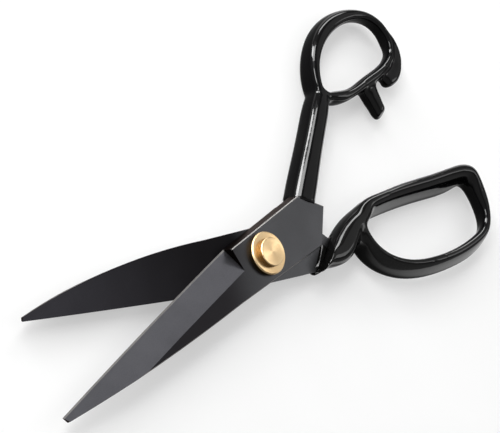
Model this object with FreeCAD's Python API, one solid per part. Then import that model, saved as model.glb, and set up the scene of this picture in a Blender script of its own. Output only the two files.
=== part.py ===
import FreeCAD, Part
import math
import os
from FreeCAD import Placement, Rotation, Vector

# Fabric shears, in millimetres and degrees. They lie flat: z = 0 is the surface that they rest on and
# the pivot axis is the line x = y = 0. The blades point to -X and the handles to +X. The rear half
# (finger bow) is drawn where it lies. The front half (thumb ring) turns about the pivot and is drawn
# open by rest_opening.
#
# Each half is modelled in its own frame, as if closed: its ride face, where the blades slide on each
# other, is z = 0, its outer face is at +z, and its cutting edge is on the +y side.

# Blades and the plates round the pivot
blade_thickness = 4.8
ride_gap = 0.05
rest_opening = 17.7
shoulder_x = -14.5
plate_tip_x = 42.0
plate_corner_radius = 1.2
plate_edge_draft = 1.0
ride_radius = 25.0
ride_relief = 0.4
bevel_width = 11.0
edge_thickness = 0.75
micro_bevel_width = 0.55
edge_land = 0.12
rim_chamfer = 0.35
tip_rake = 1.0
spine_straight = 10.0

# Front blade: y of its cutting edge and of its spine at the tip, half way and at the shoulder
front_tip_x = -128.4
front_edge_y = (0.0, 6.1, 11.2)
front_spine_y = (-2.6, -7.4, -9.4)
front_plate_y = (11.1, -12.1)

# Rear blade: broader, with a rounder spine
rear_tip_x = -126.5
rear_edge_y = (0.7, 6.0, 10.7)
rear_spine_y = (-1.0, -10.5, -11.9)
rear_plate_y = (12.0, -11.8)

# Tangs, inside the cast handles: where each one starts, within its plate, and where it ends
thumb_tang = ((32.5, 3.2), (61.5, 24.6))
finger_tang = ((32.0, 6.6), (57.0, -0.6))
tang_thickness = 3.4
tang_root_width = 8.4
tang_end_width = 5.0
tang_key_radius = 1.5

# Cast handles. Each section is (x, y, z, width, depth): z is above the surface that the shears rest
# on, width is across the bar and depth is along the pivot axis.
casting_clearance = 0.5
thumb_lip = 0.8
finger_lip = 0.8
stop_clearance = 0.06
thumb_ring_z = 5.2
thumb_ring = (
    (77.3, 38.7, thumb_ring_z, 4.3, 10.2), (82.8, 47.8, thumb_ring_z, 5.6, 9.8),
    (92.9, 54.7, thumb_ring_z, 7.0, 9.2), (106.0, 57.1, thumb_ring_z, 6.7, 8.7),
    (119.0, 54.2, thumb_ring_z, 5.0, 8.0), (127.9, 47.5, thumb_ring_z, 3.8, 7.4),
    (130.5, 39.8, thumb_ring_z, 3.4, 7.0), (128.0, 32.6, thumb_ring_z, 3.6, 7.2),
    (119.0, 28.6, thumb_ring_z, 4.5, 8.0), (105.0, 28.4, thumb_ring_z, 5.0, 8.7),
    (92.0, 29.0, thumb_ring_z, 4.6, 9.4), (82.8, 32.2, thumb_ring_z, 4.4, 10.0))
thumb_neck = (
    (28.3, 0.9, 6.1, 11.8, 12.5), (36.3, 6.9, 6.1, 11.8, 12.5), (48.5, 15.7, 6.0, 11.0, 12.3),
    (61.6, 24.9, 5.8, 10.0, 11.8), (73.7, 33.3, 5.5, 9.0, 11.0), (79.0, 37.0, 5.3, 6.4, 9.0))
finger_rest = (
    (129.5, 43.0, thumb_ring_z, 3.0, 6.0), (131.4, 34.8, thumb_ring_z, 4.4, 6.2),
    (128.6, 27.6, thumb_ring_z, 5.6, 6.2), (123.6, 23.7, thumb_ring_z, 6.2, 6.2),
    (118.6, 23.1, thumb_ring_z, 6.0, 6.2))
stop_spur_z = 4.4
stop_spur = (
    (106.0, 26.0, stop_spur_z, 8.8, 7.2), (105.6, 19.9, stop_spur_z, 7.2, 7.0),
    (105.3, 13.8, stop_spur_z, 6.4, 6.8))
finger_bow_z = 5.8
finger_bow_tilt = 34.0
finger_bow = (
    (59.9, 3.0, finger_bow_z, 4.7, 11.0), (64.0, 11.4, finger_bow_z, 4.3, 10.8),
    (72.7, 17.7, finger_bow_z, 4.2, 10.2), (84.0, 21.2, finger_bow_z, 4.2, 9.8),
    (98.0, 22.2, finger_bow_z, 4.2, 9.6), (112.4, 21.1, finger_bow_z, 4.3, 9.5),
    (126.0, 17.9, finger_bow_z, 4.4, 9.2), (134.4, 12.6, finger_bow_z, 4.4, 8.7),
    (136.9, 5.0, finger_bow_z, 4.9, 8.2), (136.6, -3.0, finger_bow_z, 6.7, 8.6),
    (134.2, -9.9, finger_bow_z, 6.8, 10.6), (123.0, -11.0, finger_bow_z, 5.6, 12.4),
    (108.0, -10.1, finger_bow_z, 5.2, 12.8), (90.0, -9.5, finger_bow_z, 5.0, 12.8),
    (74.0, -8.1, finger_bow_z, 5.0, 12.4), (62.6, -4.6, finger_bow_z, 4.8, 11.6))
finger_neck = (
    (24.0, 8.0, 6.9, 6.4, 11.0), (33.0, 8.0, 6.9, 7.4, 11.2), (40.0, 7.2, 6.8, 9.6, 11.2),
    (46.4, 4.9, 6.5, 11.4, 11.4), (52.6, 0.2, 6.2, 10.0, 11.4), (59.2, -3.8, 6.0, 8.2, 11.2),
    (66.8, -7.6, 5.8, 5.6, 10.6), (74.4, -8.9, 5.8, 3.0, 8.4))

# Skin of the castings: exponents of the sections (2 is an ellipse, more is squarer), points round each
# section, patches along a closed bar, and degrees from a bar's last section to the pole of its round end
bar_roundness = 2.6
neck_roundness = 2.6
section_points = 12
loop_patches = 4
dome_angles = (0, 25, 50, 70, 86)

# Pivot hardware
bolt_head_radius = 7.6
bolt_head_thickness = 1.8
bolt_head_chamfer = 0.5
bolt_neck_side = 8.0
bolt_shoulder_radius = 4.0
bolt_thread_radius = 3.0
running_clearance = 0.05
spanner_hole_radius = 0.9
spanner_hole_depth = 1.1
spanner_hole_offset = 4.6
nut_radius = 8.8
nut_thickness = 2.0
nut_chamfer = 0.45
nut_face_gap = 0.05
lock_nut_radius = 5.9
lock_nut_thickness = 2.2
lock_nut_chamfer = 0.3
lock_nut_dish_radius = 4.9
lock_nut_dish_depth = 0.25
thread_reach = 1.5
spring_seat_radius = 6.4
spring_seat_depth = 0.8
spring_washer_radius = 6.1
spring_washer_thickness = 0.5
spring_washer_land = 0.4

# Heights above the surface that the shears rest on
rear_ride_z = bolt_head_thickness + blade_thickness
front_ride_z = rear_ride_z + ride_gap
front_face_z = front_ride_z + blade_thickness
nut_base_z = front_face_z + nut_face_gap
lock_nut_base_z = nut_base_z + nut_thickness

# Overshoot of cutting tools past the faces that they cut
beyond = 2.0


def place_front(shape):
    """The front half's own frame to the shears' frame, open by the rest opening."""
    turned = shape.copy()
    turned.Placement = Placement(Vector(0, 0, front_ride_z), Rotation(Vector(0, 0, 1), rest_opening))
    return turned


def place_rear(shape):
    """The rear half's own frame to the shears' frame: turned over about the X axis."""
    turned = shape.copy()
    turned.Placement = Placement(Vector(0, 0, rear_ride_z), Rotation(Vector(1, 0, 0), 180))
    return turned


def arc(start, middle, end):
    """A circular edge through three (x, y) points."""
    return Part.Arc(Vector(*start), Vector(*middle), Vector(*end)).toShape()


def line(start, end):
    """A straight edge between two (x, y) points."""
    return Part.makeLine(Vector(*start), Vector(*end))


def cylinder(radius, low, high, x=0, y=0):
    """An upright cylinder between two heights."""
    return Part.makeCylinder(radius, high - low, Vector(x, y, low))


def prism(points, low, high):
    """An upright prism over a closed polygon of (x, y) points."""
    corners = [Vector(x, y, low) for x, y in points]
    return Part.Face(Part.makePolygon(corners + corners[:1])).extrude(Vector(0, 0, high - low))


def revolved(profile):
    """A turned solid from a closed polygon of (radius, z) points."""
    corners = [Vector(radius, 0, z) for radius, z in profile]
    return Part.Face(Part.makePolygon(corners + corners[:1])).revolve(Vector(), Vector(0, 0, 1), 360)


# ---------------------------------------------------------------- blades

def blade_outline(tip_x, edge_y, spine_y, plate_y):
    """Face of one blade with its plate, an arrow head that points to the handles."""
    middle_x = (tip_x + shoulder_x) / 2
    corners = [(shoulder_x, edge_y[2]), (plate_tip_x - plate_y[0], plate_y[0]), (plate_tip_x, 0),
               (plate_tip_x + plate_y[1], plate_y[1]), (shoulder_x - spine_straight, spine_y[2])]
    edges = [arc((tip_x, edge_y[0]), (middle_x, edge_y[1]), corners[0])]
    edges += [line(start, end) for start, end in zip(corners, corners[1:])]
    edges += [arc(corners[-1], (middle_x, spine_y[1]), (tip_x + tip_rake, spine_y[0])),
              line((tip_x + tip_rake, spine_y[0]), (tip_x, edge_y[0]))]
    return Part.Face(Part.Wire(edges))


def over_bevel(tip_x, edge_y):
    """Everything above the ground bevel, from beyond the tip to the shoulder."""
    middle_x = (tip_x + shoulder_x) / 2
    curve = Part.Arc(Vector(tip_x, edge_y[0]), Vector(middle_x, edge_y[1]), Vector(shoulder_x, edge_y[2]))
    slope = (blade_thickness - edge_thickness) / (bevel_width - micro_bevel_width)
    far = 3 * bevel_width
    profile = [(-beyond, -beyond), (0, edge_land), (micro_bevel_width, edge_thickness),
               (far, edge_thickness + slope * (far - micro_bevel_width)), (far, 4 * blade_thickness),
               (-beyond, 4 * blade_thickness)]
    start = curve.value(curve.FirstParameter)
    lead = curve.tangent(curve.FirstParameter)[0] * -beyond
    stations = [start + lead] + curve.discretize(Number=5)
    sections = []
    for station in stations:
        corners = [Vector(station.x, station.y - inward, height) for inward, height in profile]
        sections.append(Part.makePolygon(corners + corners[:1]))
    return Part.makeLoft(sections, True, False)


def past_side(edge_y, plate_y):
    """What the plate loses where its side towards the cutting edge slopes in from the ride face."""
    height = 2 * blade_thickness
    profile = [Vector(shoulder_x, edge_y[2], 0), Vector(shoulder_x, edge_y[2] + beyond, 0),
               Vector(shoulder_x, edge_y[2] + beyond, height),
               Vector(shoulder_x, edge_y[2] - plate_edge_draft * height / blade_thickness, height)]
    corner_x = plate_tip_x - plate_y[0]
    run = Vector(corner_x - shoulder_x, plate_y[0] - edge_y[2], 0)
    return Part.Face(Part.makePolygon(profile + profile[:1])).extrude(run + run)


def edges_where(shape, chosen):
    """The edges of a shape whose middle point passes a test."""
    found = []
    for edge in shape.Edges:
        middle = edge.valueAt((edge.FirstParameter + edge.LastParameter) / 2)
        if chosen(edge, middle):
            found.append(edge)
    return found


def steel_plate(tip_x, edge_y, spine_y, plate_y):
    """Blade and plate of one half, in its own frame, before the tang and the bore."""
    solid = blade_outline(tip_x, edge_y, spine_y, plate_y).extrude(Vector(0, 0, blade_thickness))
    uprights = edges_where(solid, lambda edge, middle: middle.x > 0 and abs(middle.y) > bolt_neck_side
                           and abs(middle.z - blade_thickness / 2) < ride_gap)
    solid = solid.makeFillet(plate_corner_radius, uprights)
    solid = solid.cut(past_side(edge_y, plate_y)).cut(over_bevel(tip_x, edge_y))
    rim = edges_where(solid, lambda edge, middle: abs(middle.z - blade_thickness) < ride_gap
                      and middle.x > shoulder_x + ride_gap)
    solid = solid.makeChamfer(rim_chamfer, rim)
    relief = cylinder(3 * ride_radius, -beyond, ride_relief).cut(
        cylinder(ride_radius, -beyond, ride_relief))
    handle_side = Part.makeBox(3 * ride_radius, 6 * ride_radius, 2 * beyond,
                               Vector(0, -3 * ride_radius, -beyond))
    return solid.cut(relief.common(handle_side))


def tang(start, end):
    """Tapered tang with a hole near its end that keys the casting."""
    first, last = Vector(*start), Vector(*end)
    along = (last - first).normalize()
    across = Vector(-along.y, along.x, 0)
    corners = [first - across * tang_root_width / 2, last - across * tang_end_width / 2,
               last + across * tang_end_width / 2, first + across * tang_root_width / 2]
    bar = prism([(corner.x, corner.y) for corner in corners], ride_relief, ride_relief + tang_thickness)
    key = last - along * tang_end_width
    return bar.cut(cylinder(tang_key_radius, -beyond, blade_thickness, key.x, key.y))


# ---------------------------------------------------------------- cast handles

def ring_points(centre, along, lean, width, depth, roundness):
    """Points of a rounded cross-section round a bar that runs in the direction along."""
    down = lean - along * lean.dot(along)
    down.normalize()
    side = along.cross(down)
    points = []
    for index in range(section_points):
        angle = 2 * math.pi * index / section_points
        c, s = math.cos(angle), math.sin(angle)
        reach = (abs(c) ** roundness + abs(s) ** roundness) ** (-1 / roundness)
        points.append(centre + down * (depth / 2 * reach * c) + side * (width / 2 * reach * s))
    return points


def closed_curve(points, knots):
    """A smooth closed curve through points, at given parameters."""
    curve = Part.BSplineCurve()
    curve.interpolate(Points=points, PeriodicFlag=True, Parameters=knots)
    return curve


def own_points(stations, ride_z, facing):
    """Centres of the stations in a half's own frame. facing is 1 for the front half and -1 for the rear."""
    return [Vector(x, y, facing * (z - ride_z)) for x, y, z, *section in stations]


def closed_bar(stations, ride_z, facing, tilt):
    """A bar bent into a closed loop, with its depth leaning by tilt: one surface, closed both ways."""
    centres = own_points(stations, ride_z, facing)
    path = Part.BSplineCurve()
    path.interpolate(Points=centres, PeriodicFlag=True)
    lean = Vector(0, math.sin(math.radians(tilt)), math.cos(math.radians(tilt)))
    rings = []
    for centre, (*place, width, depth) in zip(centres, stations):
        along = path.tangent(path.parameter(centre))[0].normalize()
        rings.append(ring_points(centre, along, lean, width, depth, bar_roundness))
    turns = [float(index) for index in range(section_points + 1)]
    around = [closed_curve(ring, turns) for ring in rings]
    lengths = [0.0]
    for index, centre in enumerate(centres):
        following = centres[(index + 1) % len(centres)]
        lengths.append(lengths[-1] + (following - centre).Length)
    columns = [closed_curve([curve.getPole(index + 1) for curve in around], lengths)
               for index in range(around[0].NbPoles)]
    poles = [[column.getPole(index + 1) for column in columns] for index in range(columns[0].NbPoles)]
    surface = Part.BSplineSurface()
    surface.buildFromPolesMultsKnots(poles, columns[0].getMultiplicities(), around[0].getMultiplicities(),
                                     columns[0].getKnots(), around[0].getKnots(), True, True,
                                     columns[0].Degree, around[0].Degree)
    cuts = [lengths[-1] * step / loop_patches for step in range(loop_patches + 1)]
    patches = []
    for begin, end in zip(cuts, cuts[1:]):
        for low, high in ((0, section_points / 2), (section_points / 2, section_points)):
            patch = surface.copy()
            patch.segment(begin, end, low, high)
            patches.append(patch.toShape())
    shell = Part.Shell(patches)
    shell.sewShape()
    solid = Part.Solid(shell)
    if solid.Volume < 0:
        solid.reverse()
    return solid


def skin(sections, roundness):
    """A solid through cross-sections (centre, along, width, depth)."""
    wires = []
    for centre, along, width, depth in sections:
        ring = Part.BSplineCurve()
        ring.interpolate(Points=ring_points(centre, along, Vector(0, 0, 1), width, depth, roundness),
                         PeriodicFlag=True)
        wires.append(Part.Wire(ring.toShape()))
    return Part.makeLoft(wires, True, False)


def open_bar(stations, ride_z, facing, roundness, round_end):
    """A bar through cross-sections, with a flat first end and a flat or a round last end."""
    centres = own_points(stations, ride_z, facing)
    path = Part.BSplineCurve()
    path.interpolate(Points=centres)
    sections = []
    for centre, (*place, width, depth) in zip(centres, stations):
        along = path.tangent(path.parameter(centre))[0].normalize()
        sections.append((centre, along, width, depth))
    solid = skin(sections, roundness)
    if round_end:
        centre, along, width, depth = sections[-1]
        dome = []
        for angle in dome_angles:
            ahead = along * (width / 2 * math.sin(math.radians(angle)))
            size = math.cos(math.radians(angle))
            dome.append((centre + ahead, along, width * size, depth * size))
        solid = solid.fuse(skin(dome, roundness))
    return solid


def before(distance, low, high):
    """Slab on the pivot's side of the plate's slanting edge, moved along x by a distance."""
    reach = plate_tip_x + distance
    size = 4 * plate_tip_x
    return prism([(reach, 0), (reach - size, size), (-size, size), (-size, -size), (reach + size, -size)],
                 low, high)


def cast_handle(bars, lip, ride_z, facing):
    """Handle of one half: its bars joined, trimmed to the plate and to the surface that it rests on."""
    solid = bars[0].multiFuse(list(bars[1:]))
    slant = math.sqrt(2)
    height = 4 * blade_thickness
    size = 4 * plate_tip_x
    solid = solid.cut(before(-lip * slant, -height, height))
    solid = solid.cut(before(casting_clearance * slant, -height, ride_relief))
    bench_z = -facing * ride_z
    lowest_z = min(bench_z, bench_z - facing * height)
    under = Part.makeBox(2 * size, 2 * size, height, Vector(-size, -size, lowest_z))
    return solid.cut(under)


# ---------------------------------------------------------------- the two halves

front_plate = steel_plate(front_tip_x, front_edge_y, front_spine_y, front_plate_y)
thumb_casting = cast_handle(
    [closed_bar(thumb_ring, front_ride_z, 1, 0), open_bar(thumb_neck, front_ride_z, 1, neck_roundness, False),
     open_bar(finger_rest, front_ride_z, 1, bar_roundness, True),
     open_bar(stop_spur, front_ride_z, 1, bar_roundness, True)],
    thumb_lip, front_ride_z, 1)
# the stop's end is faced to land on the finger bow when the shears close
lean = math.radians(finger_bow_tilt)
landed_bow = place_rear(closed_bar(finger_bow, rear_ride_z, -1, finger_bow_tilt))
landed_bow.translate(Vector(0, stop_clearance * math.cos(lean), -stop_clearance * math.sin(lean)))
landed_bow.translate(Vector(0, 0, -front_ride_z))
thumb_casting = thumb_casting.cut(landed_bow)
front_bore = cylinder(bolt_shoulder_radius + running_clearance, -beyond, blade_thickness + beyond)
front_blade = front_plate.cut(thumb_casting).cut(front_bore).fuse(tang(*thumb_tang)).removeSplitter()
thumb_handle = thumb_casting.cut(front_blade)

rear_plate = steel_plate(rear_tip_x, rear_edge_y, rear_spine_y, rear_plate_y)
finger_casting = cast_handle(
    [closed_bar(finger_bow, rear_ride_z, -1, finger_bow_tilt),
     open_bar(finger_neck, rear_ride_z, -1, neck_roundness, False)],
    finger_lip, rear_ride_z, -1)
hole_side = bolt_neck_side + 2 * running_clearance
rear_hole = Part.makeBox(hole_side, hole_side, blade_thickness + 2 * beyond,
                         Vector(-hole_side / 2, -hole_side / 2, -beyond))
rear_blade = rear_plate.cut(finger_casting).cut(rear_hole).fuse(tang(*finger_tang)).removeSplitter()
finger_handle = finger_casting.cut(rear_blade)

# ---------------------------------------------------------------- pivot hardware

shoulder_top_z = nut_base_z + spring_seat_depth
head = revolved([(0, 0), (bolt_head_radius - bolt_head_chamfer, 0), (bolt_head_radius, bolt_head_chamfer),
                 (bolt_head_radius, bolt_head_thickness), (0, bolt_head_thickness)])
neck = Part.makeBox(bolt_neck_side, bolt_neck_side, blade_thickness,
                    Vector(-bolt_neck_side / 2, -bolt_neck_side / 2, bolt_head_thickness))
shank = cylinder(bolt_shoulder_radius, bolt_head_thickness, shoulder_top_z).fuse(
    cylinder(bolt_thread_radius, bolt_head_thickness, lock_nut_base_z + thread_reach))
pivot_bolt = head.fuse(neck).fuse(shank).removeSplitter()
for side in (-1, 1):
    pivot_bolt = pivot_bolt.cut(cylinder(spanner_hole_radius, -beyond, spanner_hole_depth,
                                         0, side * spanner_hole_offset))

thread_hole_radius = bolt_thread_radius + running_clearance
adjusting_nut = revolved([
    (thread_hole_radius, nut_base_z + spring_seat_depth), (spring_seat_radius, nut_base_z + spring_seat_depth),
    (spring_seat_radius, nut_base_z), (nut_radius, nut_base_z), (nut_radius, lock_nut_base_z - nut_chamfer),
    (nut_radius - nut_chamfer, lock_nut_base_z), (thread_hole_radius, lock_nut_base_z)])

lock_nut_top_z = lock_nut_base_z + lock_nut_thickness
lock_nut_hole_z = lock_nut_base_z + thread_reach + running_clearance
lock_nut = revolved([
    (0, lock_nut_hole_z), (thread_hole_radius, lock_nut_hole_z), (thread_hole_radius, lock_nut_base_z),
    (lock_nut_radius, lock_nut_base_z), (lock_nut_radius, lock_nut_top_z - lock_nut_chamfer),
    (lock_nut_radius - lock_nut_chamfer, lock_nut_top_z), (lock_nut_dish_radius, lock_nut_top_z),
    (0, lock_nut_top_z - lock_nut_dish_depth)])

washer_inner_radius = bolt_shoulder_radius + running_clearance
spring_washer = revolved([
    (washer_inner_radius, shoulder_top_z - spring_washer_thickness), (washer_inner_radius, shoulder_top_z),
    (washer_inner_radius + spring_washer_land, shoulder_top_z),
    (spring_washer_radius, nut_base_z + spring_washer_thickness), (spring_washer_radius, nut_base_z),
    (spring_washer_radius - spring_washer_land, nut_base_z)])

nodes = {
    "front_blade": place_front(front_blade),
    "thumb_handle": place_front(thumb_handle),
    "rear_blade": place_rear(rear_blade),
    "finger_handle": place_rear(finger_handle),
    "pivot_bolt": pivot_bolt,
    "spring_washer": spring_washer,
    "adjusting_nut": adjusting_nut,
    "lock_nut": lock_nut,
}
os.makedirs("parts", exist_ok=True)
for name, shape in nodes.items():
    shape.exportStep("parts/" + name + ".step")
    box = shape.BoundBox
    print(f"{name}: valid {shape.isValid()}, {len(shape.Solids)} solid, {shape.Volume:.0f} mm3, "
          f"x {box.XMin:.1f}..{box.XMax:.1f}, y {box.YMin:.1f}..{box.YMax:.1f}, "
          f"z {box.ZMin:.2f}..{box.ZMax:.2f}")
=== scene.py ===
# %% [markdown]
# Fabric shears, dressed for a studio picture.
#
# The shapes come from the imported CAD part: two steel blades, two cast handles and a little stack of
# brass and steel on the pivot. This file adds what CAD leaves out: soft casting corners, finishes,
# light and a camera. Lengths are in metres. The shears lie on z = 0 with the pivot on the z axis, the
# blades towards -X and the handles towards +X.

# %% Load the frame
import math

import bpy
import numpy as np
from mathutils import Matrix, Vector


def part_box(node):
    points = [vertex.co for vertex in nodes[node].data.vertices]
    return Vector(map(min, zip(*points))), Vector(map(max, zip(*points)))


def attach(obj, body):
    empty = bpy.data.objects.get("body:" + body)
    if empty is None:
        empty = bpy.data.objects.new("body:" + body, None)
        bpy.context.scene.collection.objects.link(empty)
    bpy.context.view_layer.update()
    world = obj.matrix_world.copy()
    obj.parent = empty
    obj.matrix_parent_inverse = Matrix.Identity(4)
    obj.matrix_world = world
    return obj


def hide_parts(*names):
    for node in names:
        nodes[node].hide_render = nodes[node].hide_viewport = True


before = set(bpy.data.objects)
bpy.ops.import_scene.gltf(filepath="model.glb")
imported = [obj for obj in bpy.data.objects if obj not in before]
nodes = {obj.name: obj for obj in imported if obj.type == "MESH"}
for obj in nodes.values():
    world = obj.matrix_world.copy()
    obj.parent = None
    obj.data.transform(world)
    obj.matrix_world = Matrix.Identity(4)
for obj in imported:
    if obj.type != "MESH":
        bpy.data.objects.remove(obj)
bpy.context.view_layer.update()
mm = 0.001
print("nodes:", sorted(nodes))

# %% [markdown]
# Shader maths.
#
# A finish that varies over a surface is arithmetic on noise and on positions. Wiring every Math node
# by hand hides that arithmetic, so one small class wraps a socket and gives it the operators.

# %% A socket that can be added, multiplied and mixed
class Field:
    """A number or vector that varies over a surface: an output socket of a node."""

    def __init__(self, tree, socket):
        self.tree = tree
        self.socket = socket

    def node(self, kind, settings=None, output=0, **inputs):
        """Adds a node, applies its settings, then fills its sockets, by name or by number (i0, i1)."""
        made = self.tree.nodes.new(kind)
        for name, value in (settings or {}).items():
            setattr(made, name, value)
        for name, value in inputs.items():
            numbered = name[1:].isdigit()
            socket = made.inputs[int(name[1:]) if numbered else name.replace("_", " ")]
            if isinstance(value, Field):
                self.tree.links.new(value.socket, socket)
            else:
                socket.default_value = value
        return Field(self.tree, made.outputs[output])

    def math(self, operation, other):
        return self.node("ShaderNodeMath", {"operation": operation}, i0=self, i1=other)

    def __add__(self, other):
        return self.math("ADD", other)

    def __sub__(self, other):
        return self.math("SUBTRACT", other)

    def __mul__(self, other):
        return self.math("MULTIPLY", other)

    def __rsub__(self, other):
        return self * -1.0 + other

    __radd__ = __add__
    __rmul__ = __mul__

    def ramp(self, low, high, start=0.0, end=1.0):
        """A smooth step from start to end while this field goes from low to high."""
        return self.node("ShaderNodeMapRange", {"interpolation_type": "SMOOTHSTEP"}, i0=self, i1=low,
                         i2=high, i3=start, i4=end)

    def blend(self, first, second):
        """A colour between first and second, by this field."""
        return self.node("ShaderNodeMix", {"data_type": "RGBA"}, output=2, i0=self, i6=first, i7=second)


print("a Field adds Math nodes")

# %% Start a finish, and connect it
def new_finish(name, **sockets):
    """A material with a Principled shader, whose constants go straight on its own sockets."""
    material = bpy.data.materials.new(name)
    material.use_nodes = True
    tree = material.node_tree
    shader = tree.nodes["Principled BSDF"]
    for key, value in sockets.items():
        shader.inputs[key.replace("_", " ")].default_value = value
    place = Field(tree, tree.nodes.new("ShaderNodeTexCoord").outputs["Object"])
    return material, shader, place


def feed(shader, **fields):
    """Connects fields to the shader's sockets."""
    for key, field in fields.items():
        field.tree.links.new(field.socket, shader.inputs[key.replace("_", " ")])


print("finishes start from the Principled shader")

# %% Patterns that the finishes share
noise_span = (0.3, 0.7)
wide_span = (0.25, 0.75)


def noise(place, size, detail=2.0, roughness=0.5):
    """Soft noise from 0 to 1 whose lumps are about `size` across."""
    return place.node("ShaderNodeTexNoise", Vector=place, Scale=1 / size, Detail=detail,
                      Roughness=roughness)


def object_normal_z(place):
    """How far a surface faces up in its own piece: 1 on top, 0 on a wall, -1 below."""
    normal = Field(place.tree, place.tree.nodes.new("ShaderNodeTexCoord").outputs["Normal"])
    return normal.node("ShaderNodeSeparateXYZ", output=2, i0=normal)


def bump(height, strength, distance):
    """A normal from a height field in which 1 is `distance` high. strength says how much is felt."""
    return height.node("ShaderNodeBump", Height=height, Strength=strength, Distance=distance)


print("most of a noise lies within", noise_span, "and nearly all of it within", wide_span)

# %% [markdown]
# The castings.
#
# Each handle of a real pair is cast in one go round the blade's tang, then tumbled and enamelled, so
# no corner on it is sharp: the ring flows into the neck and the stop flows out of the ring. The CAD
# solid has the right bars but meets them in hard creases. Bevelling those creases one by one is
# fragile. Here a copy of the solid is rebuilt as an even skin of small squares (a voxel remesh), and
# the skin is then worked as a pattern maker works a casting's pattern: filled, eased and smoothed.

# %% An even skin over a copy of each handle
skin_size = 0.42 * mm


def recast(body):
    """Replaces a mesh by an even skin of small squares over its outside."""
    remesh = body.modifiers.new("even", "REMESH")
    remesh.mode = "VOXEL"
    remesh.voxel_size = skin_size
    remesh.use_smooth_shade = True
    shape = bpy.data.meshes.new_from_object(body.evaluated_get(bpy.context.evaluated_depsgraph_get()))
    body.modifiers.clear()
    body.data = shape
    shape.materials.clear()


thumb_casting = bpy.data.objects.new("thumb_ring_casting", nodes["thumb_handle"].data.copy())
finger_casting = bpy.data.objects.new("finger_bow_casting", nodes["finger_handle"].data.copy())
castings = (thumb_casting, finger_casting)
for casting in castings:
    bpy.context.scene.collection.objects.link(casting)
    recast(casting)
    print(casting.name, len(casting.data.vertices), "points")

# %% [markdown]
# Filled corners.
#
# A pattern maker fills an inside corner with a fillet of wax. Pushing the whole skin outwards closes
# up the inside corners, and a remesh welds what met. Pushing it back by the same distance leaves the
# bars as they were, but the corners stay filled. The distance is the fillet's radius, so it may differ
# from place to place: it is larger at the root, where the neck meets its loop.

# %% Push the skin out and back in
def read_points(mesh):
    points = np.empty(len(mesh.vertices) * 3)
    mesh.vertices.foreach_get("co", points)
    return points.reshape(-1, 3)


def write_points(mesh, points):
    mesh.vertices.foreach_set("co", points.ravel())
    mesh.update()


def push(body, distance):
    """Moves every point along its normal, by a distance that is a function of the points."""
    points = read_points(body.data)
    normals = np.empty(len(points) * 3)
    body.data.vertices.foreach_get("normal", normals)
    write_points(body.data, points + distance(points)[:, None] * normals.reshape(-1, 3))


def nearness(points, spot, reach):
    """1 at a spot, fading to 0 over about `reach` round it. The spot is (x, y) or (x, y, z) in mm."""
    away = np.linalg.norm(points[:, :len(spot)] - np.array(spot) * mm, axis=1)
    return np.exp(-(away / reach) ** 2)


small_fillet = 2.4 * mm
root_fillet = 3.6 * mm
root_reach = 13 * mm
thumb_root = (67, 57)
bow_root = (60, 4)


def fillet_radius(points, root):
    """How much wax a corner gets: a little everywhere, more round the root."""
    return small_fillet + (root_fillet - small_fillet) * nearness(points, root, root_reach)


for casting, root in ((thumb_casting, thumb_root), (finger_casting, bow_root)):
    push(casting, lambda points: fillet_radius(points, root))
    recast(casting)
    push(casting, lambda points: -fillet_radius(points, root))
    recast(casting)
    print(casting.name, "filled:", len(casting.data.vertices), "points")

# %% [markdown]
# The eased foot.
#
# On the real pair the lower bar of the thumb ring leans outwards, so that the hole is a little wider
# at the table. The CAD bar stands upright. Leaning the whole bar would mean a new loop, and only the
# foot of its inner wall shows the difference. So that foot is pushed in along a row of spots, before
# the skin is smoothed.

# %% Ease the inner foot of the thumb ring's lower bar
foot_spots = ((83, 60.2, 0.5), (88.5, 61.6, 0.5), (94, 62.8, 0.5), (99.5, 64, 0.5), (105, 65.6, 0.5),
              (110.5, 68.4, 0.5))
ease_reach = 4.2 * mm
ease_depth = 1.3 * mm
for spot in foot_spots:
    push(thumb_casting, lambda points: -ease_depth * nearness(points, spot, ease_reach))
print("foot eased at", len(foot_spots), "spots")

# %% [markdown]
# Tumbling.
#
# Tumbled castings lose every edge alike. Moving each point towards the middle of its neighbours does
# that, but it also makes thin bars thinner. So each round has two steps: one draws the points in, and
# the next pushes them out by a little more. Sharp edges still go, and the bars keep their size. A
# Smooth modifier repeats only one of the two steps, so the rounds are worked out here.

# %% Smooth the skin
def neighbour_means(mesh):
    """A function that gives the mean of the neighbours of some points, or of all of them."""
    pairs = np.empty(len(mesh.edges) * 2, dtype=np.int64)
    mesh.edges.foreach_get("vertices", pairs)
    pairs = pairs.reshape(-1, 2)
    both = np.concatenate([pairs, pairs[:, ::-1]])
    both = both[np.argsort(both[:, 0], kind="stable")]
    count = np.bincount(both[:, 0], minlength=len(mesh.vertices))
    first = np.concatenate([[0], np.cumsum(count)[:-1]])
    # Each row lists a point's neighbours. Spare places hold the point itself, to be taken off again.
    table = np.repeat(np.arange(len(mesh.vertices))[:, None], count.max(), axis=1)
    table[both[:, 0], np.arange(len(both)) - first[both[:, 0]]] = both[:, 1]
    spare = (table.shape[1] - count)[:, None]

    def means(points, some=slice(None)):
        total = points[table[some]].sum(axis=1) - spare[some] * points[some]
        return total / count[some, None]

    return means


smoothing_rounds = 200
draw_in = 0.5
push_out = -0.512
for casting in castings:
    means = neighbour_means(casting.data)
    sharp = read_points(casting.data)
    points = sharp.copy()
    for _ in range(smoothing_rounds):
        for step in (draw_in, push_out):
            points += step * (means(points) - points)
    write_points(casting.data, points)
    moved = np.linalg.norm(points - sharp, axis=1).max()
    print(casting.name, "smoothed, its sharpest edge by", round(moved / mm, 2), "mm")

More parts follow.
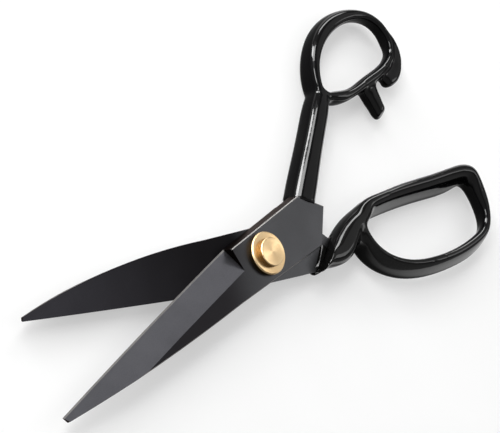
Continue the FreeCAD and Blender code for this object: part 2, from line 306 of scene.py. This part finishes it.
# %% [markdown]
# Where the enamel lies thick.
#
# Enamel runs together at an inside corner and at a short end, so those shapes melt into soft ones: the
# root of the finger bow, and the end of the spur that stops the shears as they close. Melting is the
# same smoothing with only its first step, faded out round a spot. The spur and the curled finger rest
# are also a little uneven. A few crossed waves give them slow lumps without any sharp mark.

# %% Melt the root and the spur, and add the lumps
bow_corner = (62.5, 7.8)
spur_end = (96.2, 45.2)
spur_middle = (95.5, 49)
curled_rest = (113, 62)
faded_out = 0.02
lump_length = 4.5 * mm
lump_height = 0.12 * mm
lump_waves = (((0.8, 0.3, 0.5), 0.3), ((-0.4, 0.9, 0.2), 1.9), ((0.3, -0.5, 0.8), 4.0))


def melt(body, spot, reach, rounds):
    """Smooths the shape near a spot, without giving back what that takes off."""
    means = neighbour_means(body.data)
    points = read_points(body.data)
    near = nearness(points, spot, reach)
    some = np.nonzero(near > faded_out)[0]
    for _ in range(rounds):
        points[some] += draw_in * near[some, None] * (means(points, some) - points[some])
    write_points(body.data, points)


def lumps(points):
    """Slow unevenness from -1 to 1: crossed sine waves, each with its way to run and its shift."""
    waves = [np.sin(points @ (2 * math.pi / lump_length * np.array(way)) + shift)
             for way, shift in lump_waves]
    return sum(waves) / len(waves)


melt(thumb_casting, spur_end, reach=5 * mm, rounds=60)
melt(finger_casting, bow_corner, reach=6 * mm, rounds=90)
for spot, reach in ((curled_rest, 9 * mm), (spur_middle, 6 * mm)):
    push(thumb_casting, lambda points: lump_height * lumps(points) * nearness(points, spot, reach))
print("melted: bow root, spur end; lumps up to", lump_height / mm, "mm on the spur and the rest")

# %% [markdown]
# Room to close.
#
# Filled corners are fuller than the CAD's. When the shears close, the front corner of each casting
# comes within a hair of the other blade's plate, so a shallow hollow makes room there. Last, the skin
# is clipped to the box of its CAD solid, rides on its half and takes the solid's place.

# %% Relieve the front corners and hand the castings over
thumb_corner = (27.9, 19.0, 5.4)
finger_corner = (30.3, -11.7, 7.6)
relief_reach = 1.8 * mm
relief_depth = 0.6 * mm
for casting, node, half, corner in (
        (thumb_casting, "thumb_handle", "front_half", thumb_corner),
        (finger_casting, "finger_handle", "rear_half", finger_corner)):
    push(casting, lambda points: -relief_depth * nearness(points, corner, relief_reach))
    write_points(casting.data, np.clip(read_points(casting.data), *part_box(node)))
    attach(casting, half)
    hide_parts(node)
    print(casting.name, "takes the place of", node)

# %% [markdown]
# The enamel's front edge.
#
# Where the finger casting was dipped, the enamel ran a little way onto the steel plate and set there
# as a low bead with a wandering front edge. Pulling it out of the casting's skin would need far
# smaller squares, so it is a separate skin: one profile, repeated in rows across the plate.

# %% A bead of enamel across the rear plate
plate_relief = 0.4 * mm
sunk = 0.02 * mm
plate_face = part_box("rear_blade")[1][2] - plate_relief
lip_front = (Vector((36.6 * mm, -1.2 * mm)), Vector((29.5 * mm, -10.4 * mm)))
lip_back = (Vector((39.6 * mm, -3.4 * mm)), Vector((32.2 * mm, -11.4 * mm)))
lip_profile = [(back * mm, height * mm) for back, height in (
    (0.0, 0.0), (0.03, 0.04), (0.2, 0.18), (0.4, 0.35), (0.6, 0.52), (0.76, 0.66), (0.86, 0.73),
    (1.1, 0.77), (1.8, 0.77), (2.6, 0.76), (3.6, 0.74))]
lip_rows = 60
wander_width = 0.1 * mm
wander_sweep = 3.4
wander_shift = 0.6
taper_start = 0.06
taper_rate = 4.5


def bead_points():
    """The bead's points, row by row along its front edge. Each row runs from the front to the back.
    The front edge wanders along a sine wave, and both ends taper off along a quarter of one."""
    places = []
    for row in range(lip_rows + 1):
        way = row / lip_rows
        front = lip_front[0].lerp(lip_front[1], way)
        across = (lip_back[0].lerp(lip_back[1], way) - front).normalized()
        wander = wander_width * math.sin(wander_sweep * way + wander_shift)
        taper = math.sin(math.pi * min(0.5, taper_rate * min(way, 1 - way) + taper_start))
        for back, height in lip_profile:
            spot = front + across * (wander * (1 - back / lip_profile[-1][0]) + back)
            places.append((spot.x, spot.y, plate_face - sunk + height * taper))
    return places


def closed_strip(rows, width):
    """Faces that join rows of points into a closed bar: its sides, its sole and its two ends."""
    faces = []
    for corner in range(0, rows * width, width):
        faces += [(corner + step, corner + width + step, corner + width + step + 1, corner + step + 1)
                  for step in range(width - 1)]
        faces.append((corner, corner + width - 1, corner + 2 * width - 1, corner + width))
    return faces + [tuple(range(width)), tuple(reversed(range(rows * width, (rows + 1) * width)))]


lip_mesh = bpy.data.meshes.new("finger_casting_lip")
lip_mesh.from_pydata(bead_points(), [], closed_strip(lip_rows, len(lip_profile)))
lip_mesh.shade_smooth()
lip = bpy.data.objects.new("finger_casting_lip", lip_mesh)
bpy.context.scene.collection.objects.link(lip)
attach(lip, "rear_half")
print("lip", len(lip_mesh.vertices), "points, on a face at", round(plate_face / mm, 2), "mm")

# %% [markdown]
# Enamel.
#
# The handles are dipped in black enamel and baked. It is nearly black, very smooth and glassy, and its
# only marks are the slow waves of the casting under it, which bend the reflections a little. Hands
# polish the ridges, so those are the glossiest, the tops less so and the walls least. A change of
# Roughness alone would blur the walls but not dim them. So the gloss is a coat over a base that hardly
# mirrors (an IOR of 1.05), and Coat Weight dims it wherever the surface looks sideways or straight up.

# %% Black enamel
wall_gloss = 0.08
top_gloss = 0.32
wall_to_ridge = (0.3, 0.55)
ridge_to_top = (0.82, 0.97)
thick_black = (0.002, 0.002, 0.0023, 1)
thin_black = (0.004, 0.0039, 0.0037, 1)
pool_size = 25 * mm
pool_span = (0.35, 0.7)
smear_size = 14 * mm
smear_span = (0.3, 0.75)
smear_roughness = (0.07, 0.13)
wave_size = 10 * mm
wave_height = 0.4 * mm
enamel, shader, place = new_finish("black_enamel", IOR=1.05, Coat_IOR=1.5, Coat_Roughness=0.07)
upward = object_normal_z(place)
ridges = upward.ramp(*wall_to_ridge, wall_gloss, 1.0)
tops = upward.ramp(*ridge_to_top, 0.0, 1.0 - top_gloss)
feed(shader, Base_Color=noise(place, pool_size).ramp(*pool_span).blend(thick_black, thin_black),
     Coat_Weight=ridges - tops,
     Roughness=noise(place, smear_size, detail=3.0).ramp(*smear_span, *smear_roughness),
     Normal=bump(noise(place, wave_size, detail=1.0), strength=0.08, distance=wave_height))
for piece in (*castings, lip):
    piece.data.materials.append(enamel)
    print("enamel on", piece.name)

# %% [markdown]
# Blade steel.
#
# The blades are ground, then given a thin dark grey coat that keeps the grinding's grain. The coat
# takes lighter on the freshly ground bevels. The side walls are painted darker than the faces, as
# painted shade, and the chamfers and the cutting edge are painted lighter, as a painted highlight. On
# the rear blade, the face that slides on the front blade is painted darker towards the pivot, as
# painted shade. So the tone follows which way a face looks and how far along the blade it is. A thin
# brown coat doesn't turn white at a glancing angle as bare metal does, which also keeps the side walls
# dark.

# %% Tones of the coat
# The side-wall brown is painted shade: the coat's walls are drawn darker than its faces.
side_shade_brown = (0.014, 0.0105, 0.0095, 1)
glance_brown = (0.68, 0.64, 0.63, 1)
# The bright edge grey is a painted highlight on the chamfers and the cutting edge.
edge_highlight = (0.2, 0.195, 0.19, 1)
bevel_grey = (0.098, 0.098, 0.108, 1)
plate_grey = (0.075, 0.076, 0.080, 1)
face_grey = (0.020, 0.019, 0.021, 1)
# The sliding face's grey is painted shade, the dark end of the rear blade's face by the pivot.
pivot_shade_grey = (0.0082, 0.0078, 0.0088, 1)
tip_grey = (0.038, 0.037, 0.043, 1)
worn_shade = (0.88, 0.88, 0.88, 1)
fresh_shade = (1.12, 1.12, 1.12, 1)
print("a ground bevel is", round(bevel_grey[1] / pivot_shade_grey[1], 1), "times as light as a sliding face")

# %% [markdown]
# Where each tone goes.
#
# The normal's z tells the faces apart: about 0 on a side wall, 0.66 on the narrow cutting edge, 0.93
# on the wide bevel and 1 on a flat face. The first three pairs of numbers below are short steps between
# those, so their boundaries fall on real edges of the steel and no mask has to be painted. Along the
# flat face the tone changes slowly with x.

# %% Coated steel
wall_to_edge = (0.45, 0.6)
edge_to_bevel = (0.8, 0.88)
bevel_to_flat = (0.95, 0.99)
plate_end = 4 * mm
tip_to_pivot = (-125 * mm, -25 * mm)
line_pitch = 0.22 * mm
line_stretch = (1, 0.03, 1)
cloud_size = 18 * mm
speck_size = 0.5 * mm
coat_texture = 0.05 * mm
coat_roughness = (0.34, 0.44)


def ground_lines(place, turn):
    """Fine grinding lines straight across a blade that is turned by some degrees about Z."""
    straight = place.node("ShaderNodeMapping", i0=place, i2=(0, 0, math.radians(-turn)))
    drawn_out = straight.node("ShaderNodeVectorMath", {"operation": "MULTIPLY"}, i0=straight,
                              i1=line_stretch)
    return noise(drawn_out, line_pitch, detail=3.0, roughness=0.6)


def coated_steel(name, turn, plate_start, tip_tone, face_tone):
    """Dark coat on ground steel. The flat face goes from the tip's tone to the face's tone, and takes
    the plate's from plate_start on. On the rear blade the face's tone is painted shade that darkens it
    towards the pivot. Side walls get painted shade, and the chamfers and the cutting edge a painted
    highlight."""
    material, shader, place = new_finish(name, Metallic=1.0, Specular_Tint=glance_brown)
    lines = ground_lines(place, turn)
    cloud = noise(place, cloud_size, detail=3.0)
    speck = noise(place, speck_size)
    x = place.node("ShaderNodeSeparateXYZ", output=0, i0=place)
    upward = object_normal_z(place)
    plate = x.ramp(plate_start, plate_end)
    # On the rear blade this ramp is painted shade that darkens the face towards the pivot.
    blade = x.ramp(*tip_to_pivot).blend(tip_tone, face_tone)
    # Side walls get painted shade, and the chamfers and the cutting edge a painted highlight.
    wall = upward.ramp(*wall_to_edge).blend(side_shade_brown, edge_highlight)
    slope = upward.ramp(*edge_to_bevel).blend(wall, bevel_grey)
    flat = upward.ramp(*bevel_to_flat).blend(slope, plate.blend(blade, plate_grey))
    wear = cloud * 0.5 + speck * 0.25 + lines * 0.25
    shade = wear.ramp(*noise_span).blend(worn_shade, fresh_shade)
    tone = flat.node("ShaderNodeMix", {"data_type": "RGBA", "blend_type": "MULTIPLY"}, output=2, i0=1.0,
                     i6=flat, i7=shade)
    feed(shader, Base_Color=tone, Roughness=lines.ramp(*wide_span, *coat_roughness),
         Normal=bump(lines * 0.6 + speck * 0.4, strength=0.12, distance=coat_texture))
    return material


rest_opening = 17.7
edge_rounding = 0.08 * mm
rounded_from = 25
# The rear blade's face goes from the tip's grey to painted shade by the pivot.
for node, turn, plate_start, tip_tone, face_tone in (
        ("front_blade", rest_opening, -30 * mm, face_grey, face_grey),
        ("rear_blade", 0.0, -12 * mm, tip_grey, pivot_shade_grey)):
    blade = nodes[node]
    blade.data.materials.clear()
    blade.data.materials.append(coated_steel(node + "_steel", turn, plate_start, tip_tone, face_tone))
    rounding = blade.modifiers.new("soft_edges", "BEVEL")
    rounding.width = edge_rounding
    rounding.segments = 2
    rounding.limit_method = "ANGLE"
    rounding.angle_limit = math.radians(rounded_from)
    print(node, "coated, its edges rounded where they bend by", rounded_from, "degrees or more")

# %% [markdown]
# The pivot.
#
# The nuts are turned brass. Turning leaves fine rings, so light spreads across the rings and stays
# sharp along them: the bow-tie glint of a turned face. A tall Anisotropic value gives that glint,
# because its grain runs round the object's own Z axis unless told otherwise. The walls are painted
# darker than the faces, as painted shade. The bolt and its washer are plain steel, turned the same way.

# %% Turned brass and bright steel
ring_pitch = 0.12 * mm
ring_depth = 0.02 * mm
stain_size = 5 * mm
turned_roughness = (0.3, 0.4)
wall_to_face = (0.1, 0.5)
brass_bright = (0.88, 0.66, 0.38, 1)
brass_dull = (0.78, 0.54, 0.28, 1)
# The brass wall colour is painted shade on the nuts' side walls.
brass_wall_shade = (0.28, 0.18, 0.08, 1)
steel_bright = (0.55, 0.55, 0.56, 1)
steel_dull = (0.42, 0.42, 0.43, 1)


def turned_metal(name, bright, dull, wall, anisotropy):
    """Turned metal whose faces go from bright to dull in rings and stains, and whose walls take the wall
    colour as painted shade.
    """
    material, shader, place = new_finish(name, Metallic=1.0, Anisotropic=anisotropy)
    upward = object_normal_z(place)
    flat = place.node("ShaderNodeVectorMath", {"operation": "MULTIPLY"}, i0=place, i1=(1, 1, 0))
    radius = place.node("ShaderNodeVectorMath", {"operation": "LENGTH"}, output=1, i0=flat)
    rings = radius.node("ShaderNodeTexNoise", {"noise_dimensions": "1D"}, W=radius, Scale=1 / ring_pitch,
                        Detail=2.0)
    stain = noise(place, stain_size, detail=3.0)
    turned = (stain * 0.7 + rings * 0.3).ramp(*noise_span).blend(dull, bright)
    # Side walls take the wall colour, which is painted shade.
    feed(shader, Base_Color=upward.ramp(*wall_to_face).blend(wall, turned),
         Roughness=(rings * 0.5 + stain * 0.5).ramp(*wide_span, *turned_roughness),
         Normal=bump(rings, strength=0.1, distance=ring_depth))
    return material


brass = turned_metal("turned_brass", brass_bright, brass_dull, brass_wall_shade, anisotropy=0.75)
bright_steel = turned_metal("bright_steel", steel_bright, steel_dull, steel_dull, anisotropy=0.4)
for node, finish in (("adjusting_nut", brass), ("lock_nut", brass), ("pivot_bolt", bright_steel),
                     ("spring_washer", bright_steel)):
    nodes[node].data.materials.clear()
    nodes[node].data.materials.append(finish)
    print(node, "in", finish.name)

# %% [markdown]
# The studio.
#
# The shears lie on a pale sheet in a dim, plain room. Stronger lamps would turn the sheet white, but
# they would burn out the steel and the brass too. Here the sheet glows a little by itself, and only to
# the camera and to what mirrors it. So it looks almost white and its shadows stay light, while it
# throws no extra light on the shears.

# %% The sheet
half_sheet = 6.0
white_share = 0.45
fibre_size = 60 * mm
pale = (0.93, 0.93, 0.925, 1)
paler = (0.95, 0.95, 0.948, 1)
sheet_mesh = bpy.data.meshes.new("paper")
sheet_mesh.from_pydata([(-half_sheet, -half_sheet, 0), (half_sheet, -half_sheet, 0),
                        (half_sheet, half_sheet, 0), (-half_sheet, half_sheet, 0)], [], [(0, 1, 2, 3)])
paper = bpy.data.objects.new("paper", sheet_mesh)
bpy.context.scene.collection.objects.link(paper)
white_paper, shader, place = new_finish("white_paper", Roughness=0.9, Specular_IOR_Level=0.1)
feed(shader, Base_Color=noise(place, fibre_size).ramp(*noise_span).blend(pale, paler))
tree = white_paper.node_tree
rays = tree.nodes.new("ShaderNodeLightPath")
seen = (Field(tree, rays.outputs["Is Camera Ray"]) + Field(tree, rays.outputs["Is Glossy Ray"])
        + Field(tree, rays.outputs["Is Transmission Ray"]))
glow = tree.nodes.new("ShaderNodeEmission")
share = tree.nodes.new("ShaderNodeMixShader")
tree.links.new(seen.ramp(0, 1, 0, white_share).socket, share.inputs[0])
tree.links.new(shader.outputs[0], share.inputs[1])
tree.links.new(glow.outputs[0], share.inputs[2])
tree.links.new(share.outputs[0], tree.nodes["Material Output"].inputs[0])
sheet_mesh.materials.append(white_paper)
print("sheet", 2 * half_sheet, "m wide")

# %% The room
room_level = 0.22
world = bpy.data.worlds.new("studio")
bpy.context.scene.world = world
world.use_nodes = True
sky = world.node_tree.nodes["Background"]
sky.inputs["Color"].default_value = (1, 1, 1, 1)
sky.inputs["Strength"].default_value = room_level
print("room at", room_level)

# %% [markdown]
# The lamps.
#
# Black enamel shows hardly any of its own colour: what it shows is where the lamps are. A bright line
# along a ridge is the picture of a lamp that the ridge mirrors to the camera. One big soft light would
# give every ridge the same dull line. So each lamp is placed for one line or one kind of face, and its
# size sets how wide that line gets. Together with the room, the lamps light the sheet at about the
# level where a colour looks as it is written.

# %% Soft lamps round the shears
def compass(bearing, height):
    """A direction: degrees anticlockwise from +X, then degrees above the floor."""
    return Vector((math.cos(math.radians(bearing)), math.sin(math.radians(bearing)),
                   math.tan(math.radians(height)))).normalized()


def panel(name, direction, distance, width, height, radiance, roll=0):
    """A soft rectangular lamp that faces the pivot from a direction. radiance 1 is white."""
    lamp = bpy.data.lights.new(name, "AREA")
    lamp.shape = "RECTANGLE"
    lamp.size = width
    lamp.size_y = height
    lamp.energy = radiance * math.pi * width * height
    holder = bpy.data.objects.new(name, lamp)
    holder.location = direction * distance
    holder.rotation_mode = "QUATERNION"
    turn = Matrix.Rotation(math.radians(roll), 3, "Z").to_quaternion()
    holder.rotation_quaternion = direction.to_track_quat("Z", "Y") @ turn
    bpy.context.scene.collection.objects.link(holder)
    print("lamp:", name)


# A broad soft light over both handles.
panel("window", compass(118, 39), distance=1.6, width=1.3, height=1.0, radiance=0.5)
# The line along the ridge of the thumb's neck: its upper part, then its lower part.
panel("neck_tube", compass(105, 38), distance=1.5, width=0.42, height=1.0, radiance=7.5, roll=40)
panel("neck_low", compass(113, 15.5), distance=1.5, width=0.4, height=0.46, radiance=17)
# The line round the thumb ring, and the glint on the brass.
panel("ring_tube", compass(146, 42), distance=1.5, width=0.6, height=0.4, radiance=9)
# The streak on the thumb ring's lower bar, and the tone of the ground bevels.
panel("low_tube", compass(58, 25), distance=1.6, width=1.1, height=0.36, radiance=7.5)
# A weak light from the handles' side.
panel("side_lamp", compass(-12, 36), distance=1.6, width=0.42, height=0.34, radiance=4)
# What every level face mirrors: the plates, the flat faces of the blades and the nuts.
panel("card", compass(6, 45), distance=1.6, width=1.2, height=1.2, radiance=0.8)

# %% [markdown]
# The camera.
#
# It stands on the blades' side, 45 degrees up, and is rolled so that the shears run from lower left
# to upper right. A long lens from further away keeps the near blades from looking too large.

# %% Camera
eye = bpy.data.cameras.new("studio_camera")
eye.lens = 237.07
eye.sensor_width = 36.0
camera = bpy.data.objects.new("studio_camera", eye)
camera.location = (-0.91539, -0.07113, 0.93192)
camera.rotation_euler = [math.radians(angle) for angle in (20.378, -40.933, -24.105)]
bpy.context.scene.collection.objects.link(camera)
bpy.context.scene.camera = camera
bpy.context.scene.view_settings.view_transform = "Standard"
print("camera", round(camera.location.length, 2), "m from the pivot, lens", round(eye.lens), "mm")
